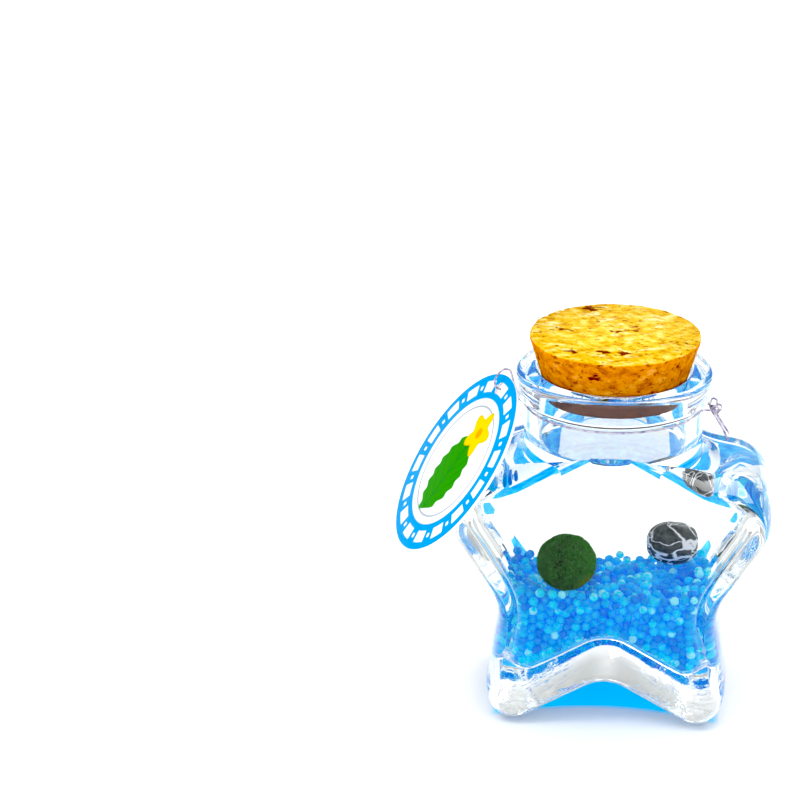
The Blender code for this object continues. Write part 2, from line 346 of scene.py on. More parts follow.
def bore_profile(radius, bottom):
    """The hole down the neck: its mouth is rounded over."""
    return ([(0.0, LIP_TOP + 2.0), (18.6, LIP_TOP + 2.0), (18.6, LIP_TOP)]
            + quarter((18.0, LIP_TOP - 1.1), (18.0 - radius, 1.1), 90, 180, 6)
            + [(radius, height) for height in (76.0, 73.0, 70.0, 67.0, 64.5, 62.0, 59.0, bottom)]
            + [(0.0, bottom)])


def new_group(name, inputs, outputs):
    """An empty node group with named sockets, its input's sockets and its output's sockets."""
    group = bpy.data.node_groups.new(name, "ShaderNodeTree")
    for way, sockets in (("INPUT", inputs), ("OUTPUT", outputs)):
        for label, kind in sockets.items():
            group.interface.new_socket(label, in_out=way, socket_type="NodeSocket" + kind)
    return (group, group.nodes.new("NodeGroupInput").outputs,
            group.nodes.new("NodeGroupOutput").inputs)


def ranged(value, low, high, to_low=0.0, to_high=1.0):
    """The value between low and high, spread between to_low and to_high."""
    node = value.id_data.nodes.new("ShaderNodeMapRange")
    for socket, setting in zip(("From Min", "From Max", "To Min", "To Max"),
                               (low, high, to_low, to_high)):
        node.inputs[socket].default_value = setting
    join(value, node.inputs["Value"])
    return node.outputs["Result"]


def number(operation, *values):
    """A Math node on sockets or plain numbers."""
    tree = next(value.id_data for value in values if hasattr(value, "id_data"))
    node = tree.nodes.new("ShaderNodeMath")
    node.operation = operation
    for socket, value in zip(node.inputs, values):
        if isinstance(value, (int, float)):
            socket.default_value = value
        else:
            join(value, socket)
    return node.outputs["Value"]


def tinted(under, mask, tint, blend="MIX"):
    """A tint, plain or from a socket, laid over a colour where the mask is."""
    node = mask.id_data.nodes.new("ShaderNodeMix")
    node.data_type = "RGBA"
    node.blend_type = blend
    join(mask, node.inputs["Factor"])
    for socket, colour in (("A", under), ("B", tint)):
        if isinstance(colour, tuple):
            node.inputs[socket].default_value = (*colour, 1.0)
        else:
            join(colour, node.inputs[socket])
    return node.outputs["Result"]


def parts_of(vector):
    """The X, Y and Z sockets of a vector."""
    split = vector.id_data.nodes.new("ShaderNodeSeparateXYZ")
    join(vector, split.inputs["Vector"])
    return split.outputs["X"], split.outputs["Y"], split.outputs["Z"]


def emboss(shader, height, strength, distance):
    """Relief on the shader, from a height."""
    bump = shader.id_data.nodes.new("ShaderNodeBump")
    bump.inputs["Strength"].default_value = strength
    bump.inputs["Distance"].default_value = distance
    join(height, bump.inputs["Height"])
    join(bump.outputs["Normal"], shader.inputs["Normal"])


# Pressed glass has slow waves, and small chill marks near its feet where the mould was cold.
moulding, given, wanted = new_group("moulding waves", {"Vector": "Vector", "Pale": "Color"},
                                    {"Tint": "Color", "Height": "Float"})
ripple = noise_over(given["Vector"], 110.0, 1.5)
near_feet = ranged(parts_of(given["Vector"])[2], 9.0 * MM, 3.0 * MM, 0.0, 7.0)
join(tinted(given["Pale"], ripple, (1.0, 1.0, 1.0)), wanted["Tint"])
join(number("MULTIPLY_ADD", noise_over(given["Vector"], 420.0), near_feet, ripple),
     wanted["Height"])


def clear_material(name, ior, pale, waves):
    """Clear glass or water: plain transmission, a faint tint and slight waves in the surface."""
    clear, shader = new_material(name, Transmission_Weight=1.0, IOR=ior, Roughness=0.0)
    surface = clear.node_tree.nodes.new("ShaderNodeGroup")
    surface.node_tree = moulding
    surface.inputs["Pale"].default_value = (*pale, 1.0)
    join(own_place(shader), surface.inputs["Vector"])
    join(surface.outputs["Tint"], shader.inputs["Base Color"])
    emboss(shader, surface.outputs["Height"], waves, 0.0006)
    return clear


glass = clear_material("pressed_glass", 1.5, (0.90, 0.975, 0.965), 0.10)
wetted = clear_material("wetted_glass", 1.5 / 1.333, (0.99, 0.997, 0.997), 0.05)
jar = star_blank("star_jar", STAR_OUTSIDE, HALF_DEPTH, EDGE_INSET, EDGE_POWER)
collar = turned("collar", [(0.0, 65.2), (NECK_RADIUS, 65.2)]
                + quarter((26.5, 64.8), (6.5, 6.0), 180, 250, 8)
                + [(25.0, 55.0), (0.0, 55.0)])
combine(collar, block((-50, -19.9, 50), (50, 19.9, 70)), "INTERSECT")
combine(jar, collar, "UNION")
neck = turned("neck", [(0.0, LIP_TOP)]
              + quarter((20.3, 78.7), (1.8, 1.7), 90, 0, 8)
              + [(22.1, 77.6), (22.1, 76.5)]
              + quarter((20.7, 75.5), (1.4, 1.4), 0, -75, 7)
              + quarter((21.0, 73.3), (1.0, 0.8), 105, 180, 4)
              + [(NECK_RADIUS, height) for height in NECK_RINGS] + [(0.0, NECK_RINGS[-1])])
combine(jar, neck, "UNION")
combine(jar, block((-50, -50, -20), (50, 50, 0)), "DIFFERENCE")
jar.data.materials.clear()
jar.data.materials.append(glass)
hollow = star_blank("hollow", STAR_INSIDE, HOLLOW_HALF_DEPTH, HOLLOW_EDGE_INSET,
                    HOLLOW_EDGE_POWER)
combine(hollow, turned("bore", bore_profile(BORE_RADIUS, 50.0)), "UNION")
bpy.ops.object.mode_set(mode="EDIT")
bpy.ops.mesh.select_all(action="SELECT")
bpy.ops.mesh.bisect(plane_co=(0, 0, WATER_TOP * MM), plane_no=(0, 0, 1))
bpy.ops.object.mode_set(mode="OBJECT")
hollow.data.materials.clear()
hollow.data.materials.append(glass)
hollow.data.materials.append(wetted)
for face in hollow.data.polygons:
    face.material_index = 1 if face.center.z < WATER_TOP * MM else 0
combine(jar, hollow, "DIFFERENCE")
finish_mesh(jar)


def soften(piece):
    """Smooth shading in which the large flat faces keep their own direction."""
    take_up(piece)
    bpy.ops.object.shade_smooth_by_angle(angle=math.radians(32))
    flats = piece.modifiers.new("flats", "WEIGHTED_NORMAL")
    flats.keep_sharp = True
    flats.weight = 60
    bpy.ops.object.modifier_apply(modifier=flats.name)


soften(jar)
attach(jar, "root")
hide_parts("glass_jar")

# ------------------------------------------------------------------ water
# Clear water from the bottom of the jar up to the neck's foot, all round the beads. It wets the
# glass, so its skin lies just inside the wall, and it climbs a little where it meets it.
WATER_SWELL = -0.06
MENISCUS = ((0.25, -0.30), (0.35, -0.18), (0.6, -0.10), (0.9, -0.04))
water = star_blank("water_body", STAR_INSIDE, HOLLOW_HALF_DEPTH, HOLLOW_EDGE_INSET,
                   HOLLOW_EDGE_POWER, WATER_SWELL)
combine(water, turned("bore", bore_profile(BORE_RADIUS + WATER_SWELL, 50.0)), "UNION")
combine(water, block((-50, -50, WATER_TOP), (50, 50, 100)), "DIFFERENCE")
finish_mesh(water)
for face in water.data.polygons:
    face.select = face.normal.z > 0.99 and face.center.z > (WATER_TOP - 0.01) * MM
bpy.ops.object.mode_set(mode="EDIT")
for rim, drop in MENISCUS:
    bpy.ops.mesh.inset(thickness=rim * MM, depth=drop * MM)
bpy.ops.object.mode_set(mode="OBJECT")
soften(water)

water.data.materials.clear()
water.data.materials.append(clear_material("clear_water", 1.333, (0.975, 0.995, 1.0), 0.04))
water.data.materials.append(clear_material("water_on_glass", 1.0, (0.985, 0.997, 1.0), 0.0))
for face in water.data.polygons:
    face.material_index = 0 if face.center.z > (WATER_TOP - 0.9) * MM and face.normal.z > 0.3 else 1
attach(water, "root")
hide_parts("water")

# ------------------------------------------------------------------ moss ball
# A ball of living algae threads, about 14 mm across: a dense felted core with thousands of short
# soft threads standing out of it, painted darker at their roots as shade and paler at their tips as
# light.
ball_low, ball_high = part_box("moss_ball")
ball_centre = np.array((ball_low + ball_high) / 2)
BALL_RADIUS = (ball_high.z - ball_low.z) / 2
FELT_DEPTH = 0.75 * MM
MOSS_THREADS = 24000
MOSS_FACES = ((0, 1, 3, 2), (2, 3, 4))
rng = np.random.default_rng(7)

bpy.ops.object.select_all(action="DESELECT")
bpy.ops.mesh.primitive_ico_sphere_add(subdivisions=5, radius=BALL_RADIUS - FELT_DEPTH)
core = bpy.context.object
core.name = "moss_core"


def lumpiness(direction):
    """Slow bumps of the ball, so that it isn't a perfect sphere."""
    way = Vector(direction)
    return (0.22 * noise.noise(way * 2.2) + 0.12 * noise.noise(way * 6)) * MM


for vert in core.data.vertices:
    way = vert.co.normalized()
    grain = 0.09 * noise.noise(way * 45) * MM
    vert.co = way * (vert.co.length + lumpiness(way) + grain) + Vector(ball_centre)
core.data.shade_smooth()

directions = rng.normal(size=(MOSS_THREADS, 3))
directions /= np.linalg.norm(directions, axis=1)[:, None]
lumps = np.array([lumpiness(way) for way in directions])
sideways = np.cross(directions, rng.normal(size=(MOSS_THREADS, 3)))
sideways /= np.linalg.norm(sideways, axis=1)[:, None]
across = np.cross(directions, sideways)
reach = FELT_DEPTH * rng.uniform(0.7, 1.12, size=MOSS_THREADS)
lean = rng.uniform(0.1, 0.9, size=MOSS_THREADS)
width = rng.uniform(0.05, 0.09, size=MOSS_THREADS) * MM
roots = directions * (BALL_RADIUS - FELT_DEPTH * 1.15 + lumps)[:, None]
middles = roots + (directions * 0.62 + sideways * 0.25 * lean[:, None]) * reach[:, None]
tips = roots + (directions * 1.05 + sideways * 0.9 * lean[:, None]) * reach[:, None]
moss_verts = np.stack([
    roots - across * width[:, None], roots + across * width[:, None],
    middles - across * width[:, None] * 0.7, middles + across * width[:, None] * 0.7,
    tips], axis=1) + ball_centre
moss_faces = []
for first in range(0, MOSS_THREADS * 5, 5):
    moss_faces += [[first + corner for corner in face] for face in MOSS_FACES]
moss_mesh = bpy.data.meshes.new("moss_threads")
moss_mesh.from_pydata(moss_verts.reshape(-1, 3).tolist(), [], moss_faces)
height = moss_mesh.attributes.new("height", "FLOAT", "POINT")
height.data.foreach_set("value", np.tile([0.0, 0.0, 0.55, 0.55, 1.0], MOSS_THREADS))
age = moss_mesh.attributes.new("age", "FLOAT", "POINT")
age.data.foreach_set("value", np.repeat(rng.uniform(size=MOSS_THREADS), 5))
moss_mesh.shade_smooth()
threads = put_in_scene("moss_threads", moss_mesh)


growth, given, wanted = new_group("moss growth", {"Vector": "Vector", "Dark": "Color",
                                                  "Bright": "Color"}, {"Color": "Color"})
patches = ranged(noise_over(given["Vector"], 330.0, 5.0), 0.38, 0.62)
join(tinted(given["Dark"], patches, given["Bright"]), wanted["Color"])


def moss_material(name, dark, bright):
    """Algae green in lighter and darker patches: the material, its shader and its colour."""
    moss, shader = new_material(name, Roughness=0.75, Specular_IOR_Level=0.15, Sheen_Weight=1.0,
                                Sheen_Roughness=0.5, Sheen_Tint=(0.35, 0.9, 0.25, 1.0))
    patchy = moss.node_tree.nodes.new("ShaderNodeGroup")
    patchy.node_tree = growth
    patchy.inputs["Dark"].default_value = (*dark, 1.0)
    patchy.inputs["Bright"].default_value = (*bright, 1.0)
    join(own_place(shader), patchy.inputs["Vector"])
    return moss, shader, patchy.outputs["Color"]


def own_attribute(shader, name):
    """A value kept on the piece's mesh."""
    node = shader.id_data.nodes.new("ShaderNodeAttribute")
    node.attribute_name = name
    return node.outputs["Fac"]


def near(shader, offset, far, close, most):
    """A soft spot on the ball, at an offset from its middle in mm."""
    node = shader.id_data.nodes.new("ShaderNodeVectorMath")
    node.operation = "DISTANCE"
    node.inputs[1].default_value = Vector(ball_centre) + Vector(offset) * MM
    join(own_place(shader), node.inputs[0])
    return ranged(node.outputs["Value"], far * MM, close * MM, 0.0, most)


felt, shader, colour = moss_material("moss_felt", (0.002, 0.022, 0.004), (0.01, 0.08, 0.008))
join(colour, shader.inputs["Base Color"])
core.data.materials.append(felt)
# A few old threads are yellow. The tips are painted paler as light, the side towards the light is
# painted brighter green as lit, and one small spot low on the right is a painted yellow-green
# highlight.
fibre, shader, colour = moss_material("moss_fibre", (0.001, 0.020, 0.006), (0.012, 0.16, 0.018))
old = ranged(own_attribute(shader, "age"), 0.86, 1.0, 0.0, 0.45)
colour = tinted(colour, old, (0.16, 0.22, 0.015))
painted_tip_light = ranged(own_attribute(shader, "height"), 0.3, 1.0, 0.0, 0.8)
colour = tinted(colour, painted_tip_light, (0.02, 0.26, 0.015))
colour = tinted(colour, near(shader, (8.0, -1.0, 3.0), 11.0, 3.0, 0.6), (0.06, 0.42, 0.02))
colour = tinted(colour, near(shader, (4.4, -3.4, -4.0), 3.2, 1.0, 0.75), (0.28, 0.42, 0.01))
join(colour, shader.inputs["Base Color"])
threads.data.materials.append(fibre)
for piece in (core, threads):
    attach(piece, "root")
    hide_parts("moss_ball")

# ------------------------------------------------------------------ black pebble
# A tumbled black stone with veins of white quartz, lying on the beads.
stone_low, stone_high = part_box("black_pebble")
stone_centre = (stone_low + stone_high) / 2
stone_half = (stone_high - stone_low) / 2
bpy.ops.object.select_all(action="DESELECT")
bpy.ops.mesh.primitive_cube_add(size=2.0)
stone = bpy.context.object
stone.name = "tumbled_pebble"
for vert in stone.data.vertices:
    vert.co.x *= 0.92 if vert.co.z > 0 else 1.0
bpy.ops.object.mode_set(mode="EDIT")
bpy.ops.mesh.select_all(action="SELECT")
bpy.ops.mesh.bevel(offset=0.62, segments=4, profile=0.6)
bpy.ops.object.mode_set(mode="OBJECT")
rounding = stone.modifiers.new("tumbled", "SUBSURF")
rounding.levels = rounding.render_levels = 3
bpy.ops.object.modifier_apply(modifier=rounding.name)
for vert in stone.data.vertices:
    way = vert.co.normalized()
    size = vert.co.length * 0.45 + 0.50
    size *= 1 + 0.05 * noise.noise(way * 1.7) + 0.012 * noise.noise(way * 7)
    spot = way * min(size, 1.0)
    vert.co = spot * stone_half + stone_centre
stone.data.shade_smooth()

rock, shader = new_material("veined_stone")
place = own_place(shader)
speckle = noise_over(place, 900.0, 8.0)
colour = ramp(speckle, (0.40, (0.006, 0.012, 0.016)), (0.70, (0.07, 0.09, 0.10)))
for scale, offset, thickness in ((95.0, 2.3, 0.022), (150.0, 7.7, 0.016)):
    moved = rock.node_tree.nodes.new("ShaderNodeMapping")
    moved.inputs["Location"].default_value = (offset, offset * 2, offset * 3)
    moved.inputs["Scale"].default_value = (scale, scale, scale * 1.6)
    join(place, moved.inputs["Vector"])
    field = noise_over(moved.outputs["Vector"], 1.0, 2.5)
    distance = number("ABSOLUTE", number("SUBTRACT", field, 0.5))
    vein = ranged(distance, thickness * 0.45, thickness, 1.0, 0.0)
    colour = tinted(colour, vein, (0.80, 0.80, 0.86))
join(colour, shader.inputs["Base Color"])
join(ranged(speckle, 0.0, 1.0, 0.25, 0.5), shader.inputs["Roughness"])
emboss(shader, speckle, 0.4, 0.0001)
stone.data.materials.append(rock)
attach(stone, "root")
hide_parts("black_pebble")

# ------------------------------------------------------------------ bead bed
# About three thousand loose azure glass beads, 2 to 2.4 mm across, poured in until they cover the
# lower half of the jar. They lie as they fall: packed by gravity against the glass, the ball and
# the pebble.
BED_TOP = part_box("bead_bed")[1].z / MM
BEAD_COUNT = 3150
BEAD_RADIUS = (0.98, 1.22)
SETTLE_STEPS = 300
FALL = 0.07
PUSH_SHARE = 0.35
wall = np.array([(spot.x, spot.y) for spot in rounded_outline(STAR_INSIDE)])
wall_run = np.roll(wall, -1, axis=0) - wall
wall_run_squared = (wall_run ** 2).sum(axis=1)
wall_inward = np.stack([-wall_run[:, 1], wall_run[:, 0]], axis=1)
wall_inward /= np.sqrt(wall_run_squared)[:, None]
rng = np.random.default_rng(11)
obstacles = [(ball_centre / MM, BALL_RADIUS / MM * np.ones(3)),
             (np.array(stone_centre) / MM, np.array(stone_half) / MM)]


def kept_in_jar(spots, size):
    """Bead centres pushed back inside the glass, by the nearest stretch of wall."""
    spots = spots.copy()
    flat = spots[:, (0, 2)]
    from_corner = flat[:, None, :] - wall[None]
    along = np.clip((from_corner * wall_run).sum(axis=2) / wall_run_squared, 0.0, 1.0)
    gap = from_corner - along[:, :, None] * wall_run
    far = (gap ** 2).sum(axis=2)
    nearest = far.argmin(axis=1)
    picked = np.arange(len(spots))
    way = gap[picked, nearest]
    distance = np.sqrt(far[picked, nearest]) + 1e-9
    inside = (from_corner[picked, nearest] * wall_inward[nearest]).sum(axis=1) > 0
    signed = np.where(inside, distance, -distance)
    way = np.where(inside[:, None], way, -way) / distance[:, None]
    share = np.clip(np.abs(spots[:, 1]) / HOLLOW_HALF_DEPTH, 0.0, 0.999)
    drawn_in = HOLLOW_EDGE_INSET * (1 - (1 - share ** HOLLOW_EDGE_POWER) ** (1 / HOLLOW_EDGE_POWER))
    short = np.maximum(size + drawn_in + 0.1 - signed, 0.0)
    spots[:, 0] += way[:, 0] * short
    spots[:, 2] += way[:, 1] * short
    reach = HOLLOW_HALF_DEPTH - size - 0.15
    spots[:, 1] = np.clip(spots[:, 1], -reach, reach)
    return spots


def pushed_off(spots, size, centre, half_size):
    """Beads pushed out of the ball or the pebble."""
    scaled = (spots - centre) / (half_size + size[:, None])
    depth = np.linalg.norm(scaled, axis=1)[:, None] + 1e-9
    return np.where(depth < 1.0, centre + scaled / depth * (half_size + size[:, None]), spots)


def close_pairs(spots, reach):
    """Pairs of beads whose centres are nearer than the reach."""
    first, second = [], []
    order = np.argsort(spots[:, 2])
    ranked = spots[order]
    for rank in range(len(ranked)):
        last = np.searchsorted(ranked[:, 2], ranked[rank, 2] + reach)
        gaps = ranked[rank + 1:last] - ranked[rank]
        near = np.nonzero((gaps ** 2).sum(axis=1) < reach ** 2)[0]
        first.append(np.full(len(near), order[rank]))
        second.append(order[rank + 1 + near])
    return np.concatenate(first), np.concatenate(second)


beads = rng.uniform((-30, -16, 4), (30, 16, BED_TOP + 5), size=(42000, 3))
settled = np.linalg.norm(kept_in_jar(beads, np.full(len(beads), 1.0)) - beads, axis=1) < 0.01
beads = beads[settled][:BEAD_COUNT]
bead_size = rng.uniform(*BEAD_RADIUS, size=len(beads))
for step in range(SETTLE_STEPS):
    if step % 10 == 0:
        one, two = close_pairs(beads, 2 * BEAD_RADIUS[1] + 0.5)
        contact = bead_size[one] + bead_size[two]
    beads[:, 2] -= FALL * (1 - step / SETTLE_STEPS)
    gap = beads[one] - beads[two]
    apart = np.linalg.norm(gap, axis=1) + 1e-9
    push = (np.maximum(contact - apart, 0.0) * PUSH_SHARE / apart)[:, None] * gap
    for axis in range(3):
        beads[:, axis] += np.bincount(one, push[:, axis], len(beads))
        beads[:, axis] -= np.bincount(two, push[:, axis], len(beads))
    for centre, half_size in obstacles:
        beads = pushed_off(beads, bead_size, centre, half_size)
    beads = kept_in_jar(beads, bead_size)
in_bed = beads[:, 2] < BED_TOP + 1.0 + 0.07 * beads[:, 1]
beads, bead_size = beads[in_bed], bead_size[in_bed]

bpy.ops.object.select_all(action="DESELECT")
bpy.ops.mesh.primitive_ico_sphere_add(subdivisions=2, radius=1.0)
pattern = bpy.context.object
pattern_verts = np.array([vert.co[:] for vert in pattern.data.vertices])
pattern_faces = np.array([face.vertices[:] for face in pattern.data.polygons])
bpy.data.objects.remove(pattern, do_unlink=True)


def bead_mesh(name, centres, sizes):
    """One mesh of many beads, each a little out of round and turned its own way."""
    count = len(centres)
    spin = np.linalg.qr(rng.normal(size=(count, 3, 3)))[0]
    spin *= np.sign(np.linalg.det(spin))[:, None, None]
    flatness = rng.uniform(0.94, 1.0, size=(count, 1, 3))
    shapes = (pattern_verts[None] * flatness) @ spin * sizes[:, None, None] * 0.99
    verts = (shapes + centres[:, None]) * MM
    faces = pattern_faces[None] + (np.arange(count) * len(pattern_verts))[:, None, None]
    mesh = bpy.data.meshes.new(name)
    mesh.from_pydata(verts.reshape(-1, 3).tolist(), [], faces.reshape(-1, 3).tolist())
    tone = mesh.attributes.new("tone", "FLOAT", "POINT")
    tone.data.foreach_set("value", np.repeat(rng.uniform(size=count), len(pattern_verts)))
    mesh.shade_smooth()
    pile = bpy.data.objects.new(name, mesh)
    bpy.context.scene.collection.objects.link(pile)
    return pile


deep = beads[:, 2] < np.median(beads[:, 2])
bead_piles = [bead_mesh("lower_beads", beads[deep], bead_size[deep]),
              bead_mesh("upper_beads", beads[~deep], bead_size[~deep])]

# The beads' dye colour also drives a faint emission: a painted glow, as glass beads give no light
# of their own.
azure, shader = new_material("azure_glass", Roughness=0.05, IOR=1.25, Transmission_Weight=0.2,
                             Emission_Strength=0.085)
swirl = noise_over(own_place(shader), 700.0)
tone = number("SUBTRACT", own_attribute(shader, "tone"), 0.3)
dye_and_glow = ramp(number("MULTIPLY_ADD", swirl, 0.6, tone), (0.0, (0.0, 0.30, 0.90)),
           (0.6, (0.0, 0.61, 1.0)), (0.90, (0.0, 0.84, 1.0)), (1.0, (0.35, 0.95, 1.0)))
# A paler cyan rim is painted where each bead's surface turns away from view: a painted highlight.
edge = azure.node_tree.nodes.new("ShaderNodeLayerWeight")
edge.inputs["Blend"].default_value = 0.35
rim = ranged(edge.outputs["Facing"], 0.45, 0.85, 0.0, 0.55)
join(tinted(dye_and_glow, rim, (0.12, 0.90, 1.0)), shader.inputs["Base Color"])
join(dye_and_glow, shader.inputs["Emission Color"])
for pile in bead_piles:
    pile.data.materials.append(azure)
    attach(pile, "root")
    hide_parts("bead_bed")

# ------------------------------------------------------------------ cork stopper
# A tapered plug cut from pressed cork granules: a pale golden top, browner sides with small pits,
# and crumbled edges. The sides' brown is partly the cork's own and partly painted shade.
cork_low, cork_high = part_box("cork_stopper")
CORK_TOP_RADIUS = (cork_high.x - cork_low.x) / 2 + 0.4 * MM
CORK_BOTTOM_RADIUS = 15.2 * MM
CORK_HEIGHT = cork_high.z - cork_low.z
CORK_LAYERS = 26
bpy.ops.object.select_all(action="DESELECT")
bpy.ops.mesh.primitive_cone_add(vertices=160, radius1=CORK_BOTTOM_RADIUS, radius2=CORK_TOP_RADIUS,
                                depth=CORK_HEIGHT, location=(0, 0, (cork_low.z + cork_high.z) / 2))
cork = bpy.context.object
cork.name = "granule_cork"
bpy.ops.object.transform_apply(location=True)
bpy.ops.object.mode_set(mode="EDIT")
for cut in [0.5 * MM] + [CORK_HEIGHT * layer / CORK_LAYERS for layer in range(1, CORK_LAYERS)]:
    bpy.ops.mesh.select_all(action="SELECT")
    bpy.ops.mesh.bisect(plane_co=(0, 0, cork_low.z + cut), plane_no=(0, 0, 1))
bpy.ops.object.mode_set(mode="OBJECT")
for vert in cork.data.vertices:
    flat = Vector((vert.co.x, vert.co.y, 0.0))
    out = flat.length
    to_rim = min(cork_high.z - vert.co.z, vert.co.z - cork_low.z)
    up_side = (vert.co.z - cork_low.z) / CORK_HEIGHT
    slope_radius = CORK_BOTTOM_RADIUS + (CORK_TOP_RADIUS - CORK_BOTTOM_RADIUS) * up_side
    on_side = out > slope_radius - 0.3 * MM
    grain = noise.noise(vert.co * 420) * 0.10 + noise.noise(vert.co * 1100) * 0.09
    pit = max(0.0, noise.noise(vert.co * 700 + Vector((3, 8, 1))) - 0.42) * 1.6
    if on_side:
        crumble = 0.22 + 0.30 * abs(noise.noise(vert.co * 350))
        crumble *= max(0.0, 1 - to_rim / (0.7 * MM))
        shrink = (0.16 + crumble + pit + grain * 0.8) * MM
        vert.co -= flat.normalized() * max(shrink, 0.0)
    if abs(vert.co.z - cork_high.z) < 0.01 * MM:
        vert.co.z -= max(0.0, 0.10 + grain * 0.7 + pit) * MM
    elif abs(vert.co.z - cork_low.z) < 0.01 * MM:
        vert.co.z += (0.25 + abs(noise.noise(vert.co * 260)) * 1.2 + grain) * MM
cork.data.shade_smooth()

bark, shader = new_material("natural_cork", Roughness=0.8, Specular_IOR_Level=0.2)
place = own_place(shader)


def grain_noise(scale, stretch, detail, seed):
    """Noise in the cork, stretched along its growth lines."""
    moved = bark.node_tree.nodes.new("ShaderNodeMapping")
    moved.inputs["Location"].default_value = (seed, seed * 1.7, seed * 2.3)
    moved.inputs["Rotation"].default_value = (0.0, 0.12, 0.35)
    moved.inputs["Scale"].default_value = (scale / stretch, scale, scale * 1.1)
    join(place, moved.inputs["Vector"])
    grain = noise_over(moved.outputs["Vector"], 1.0, detail)
    grain.node.inputs["Roughness"].default_value = 0.62
    return grain


fine = grain_noise(480.0, 1.3, 7.0, 1.0)
colour = ramp(fine, (0.34, (0.52, 0.26, 0.025)), (0.50, (0.82, 0.49, 0.03)),
              (0.66, (0.90, 0.68, 0.18)))
flecks = ranged(grain_noise(400.0, 1.9, 4.0, 5.0), 0.56, 0.64, 0.0, 0.8)
colour = tinted(colour, flecks, (0.98, 0.80, 0.38))
specks = ranged(grain_noise(900.0, 1.4, 6.0, 9.0), 0.57, 0.63, 0.0, 0.85)
colour = tinted(colour, specks, (0.32, 0.12, 0.015))
pits = ranged(grain_noise(230.0, 1.7, 8.0, 14.0), 0.615, 0.65)
colour = tinted(colour, pits, (0.18, 0.03, 0.012))
# Sides browner than the top: partly the cork's own colour, partly painted shade.
facing = bark.node_tree.nodes.new("ShaderNodeNewGeometry").outputs["Normal"]
side_tone_and_shade = ranged(parts_of(facing)[2], 0.35, 0.75, 1.0, 0.0)
colour = tinted(colour, side_tone_and_shade, (0.80, 0.45, 0.20), "MULTIPLY")
# The part of the cork down inside the neck is painted darker, as shade.
painted_neck_shade = ranged(parts_of(place)[2], 79.6 * MM, 80.6 * MM, 1.0, 0.0)
colour = tinted(colour, painted_neck_shade, (0.22, 0.09, 0.01), "MULTIPLY")
join(colour, shader.inputs["Base Color"])
emboss(shader, fine, 0.8, 0.0004)
cork.data.materials.append(bark)
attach(cork, "root")
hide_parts("cork_stopper")

# ------------------------------------------------------------------ hang tag
# A round printed card with a punched hole. It has a blue border with plain white dashes and dots,
# a fine grey line, and a leaf with a small yellow flower on white.
TAG_RADIUS = 22.3
TAG_THICKNESS = 0.7
TAG_HOLE_RADIUS = 1.5
TAG_HOLE_UP = 19.0
TAG_PLACE = Vector((-34.6, -8.8, 59.8)) * MM
tag_placement = (Matrix.Translation(TAG_PLACE) @ Matrix.Rotation(math.radians(-74.4), 4, "Z")
                 @ Matrix.Rotation(math.radians(54.6), 4, "X")
                 @ Matrix.Rotation(math.radians(12.7), 4, "Z"))
bpy.ops.object.select_all(action="DESELECT")
bpy.ops.mesh.primitive_cylinder_add(vertices=128, radius=TAG_RADIUS * MM, depth=TAG_THICKNESS * MM)
tag = bpy.context.object
tag.name = "printed_tag"
bpy.ops.object.mode_set(mode="EDIT")
bpy.ops.mesh.select_mode(type="EDGE")
bpy.ops.mesh.select_all(action="DESELECT")
bpy.ops.object.mode_set(mode="OBJECT")
for edge in tag.data.edges:
    ends = [tag.data.vertices[index].co.z for index in edge.vertices]
    edge.select = abs(ends[0] - ends[1]) < 1e-6
bpy.ops.object.mode_set(mode="EDIT")
bpy.ops.mesh.bevel(offset=0.12 * MM, segments=2)
bpy.ops.object.mode_set(mode="OBJECT")
bpy.ops.object.select_all(action="DESELECT")
bpy.ops.mesh.primitive_cylinder_add(vertices=48, radius=TAG_HOLE_RADIUS * MM, depth=4 * MM,
                                    location=(0, TAG_HOLE_UP * MM, 0))
combine(tag, bpy.context.object, "DIFFERENCE")
finish_mesh(tag)
bpy.ops.object.shade_smooth_by_angle(angle=math.radians(40))
for old in list(tag.data.uv_layers):
    tag.data.uv_layers.remove(old)
print_map = tag.data.uv_layers.new(name="print")
front_side = tag.data.attributes.new("front_side", "FLOAT", "FACE")
for face in tag.data.polygons:
    front_side.data[face.index].value = 1.0 if face.normal.z > 0.9 else 0.0
    for loop in face.loop_indices:
        spot = tag.data.vertices[tag.data.loops[loop].vertex_index].co
        print_map.data[loop].uv = (spot.x / (TAG_RADIUS * MM), spot.y / (TAG_RADIUS * MM))
tag.data.transform(tag_placement)

card, shader = new_material("printed_card", Roughness=0.55, Specular_IOR_Level=0.2)


def inside(value, edge, soft=0.008):
    """1 below the edge and 0 above it, with a clean printed edge."""
    return ranged(value, edge - soft, edge + soft, 1.0, 0.0)


def far_from(x, y):
    """Distance on the tag from a point, in tag radii."""
    return number("SQRT", number("ADD", number("POWER", number("SUBTRACT", across, x), 2.0),
                                 number("POWER", number("SUBTRACT", upward, y), 2.0)))


where = card.node_tree.nodes.new("ShaderNodeUVMap")
where.uv_map = "print"
across, upward, _ = parts_of(where.outputs["UV"])
out = far_from(0.0, 0.0)
bearing = number("ARCTAN2", upward, across)
fibres = noise_over(where.outputs["UV"], 60.0, 5.0)
paper = ramp(fibres, (0.0, (0.86, 0.84, 0.88)), (1.0, (0.97, 0.96, 0.99)))
blue = ramp(fibres, (0.0, (0.0, 0.24, 0.60)), (1.0, (0.0, 0.34, 0.72)))
green = ramp(fibres, (0.0, (0.008, 0.17, 0.004)), (1.0, (0.04, 0.36, 0.004)))
border = number("SUBTRACT", 1.0, inside(out, 0.715))
colour = tinted(paper, border, blue)
share = number("FRACT", number("MULTIPLY", number("ADD", bearing, 7.0), 8 / math.pi))
from_mark = number("ABSOLUTE", number("SUBTRACT", share, 0.5))
from_middle = number("ABSOLUTE", number("SUBTRACT", out, 0.855))
dash = number("MULTIPLY", inside(from_mark, 0.27, 0.02), inside(from_middle, 0.062))
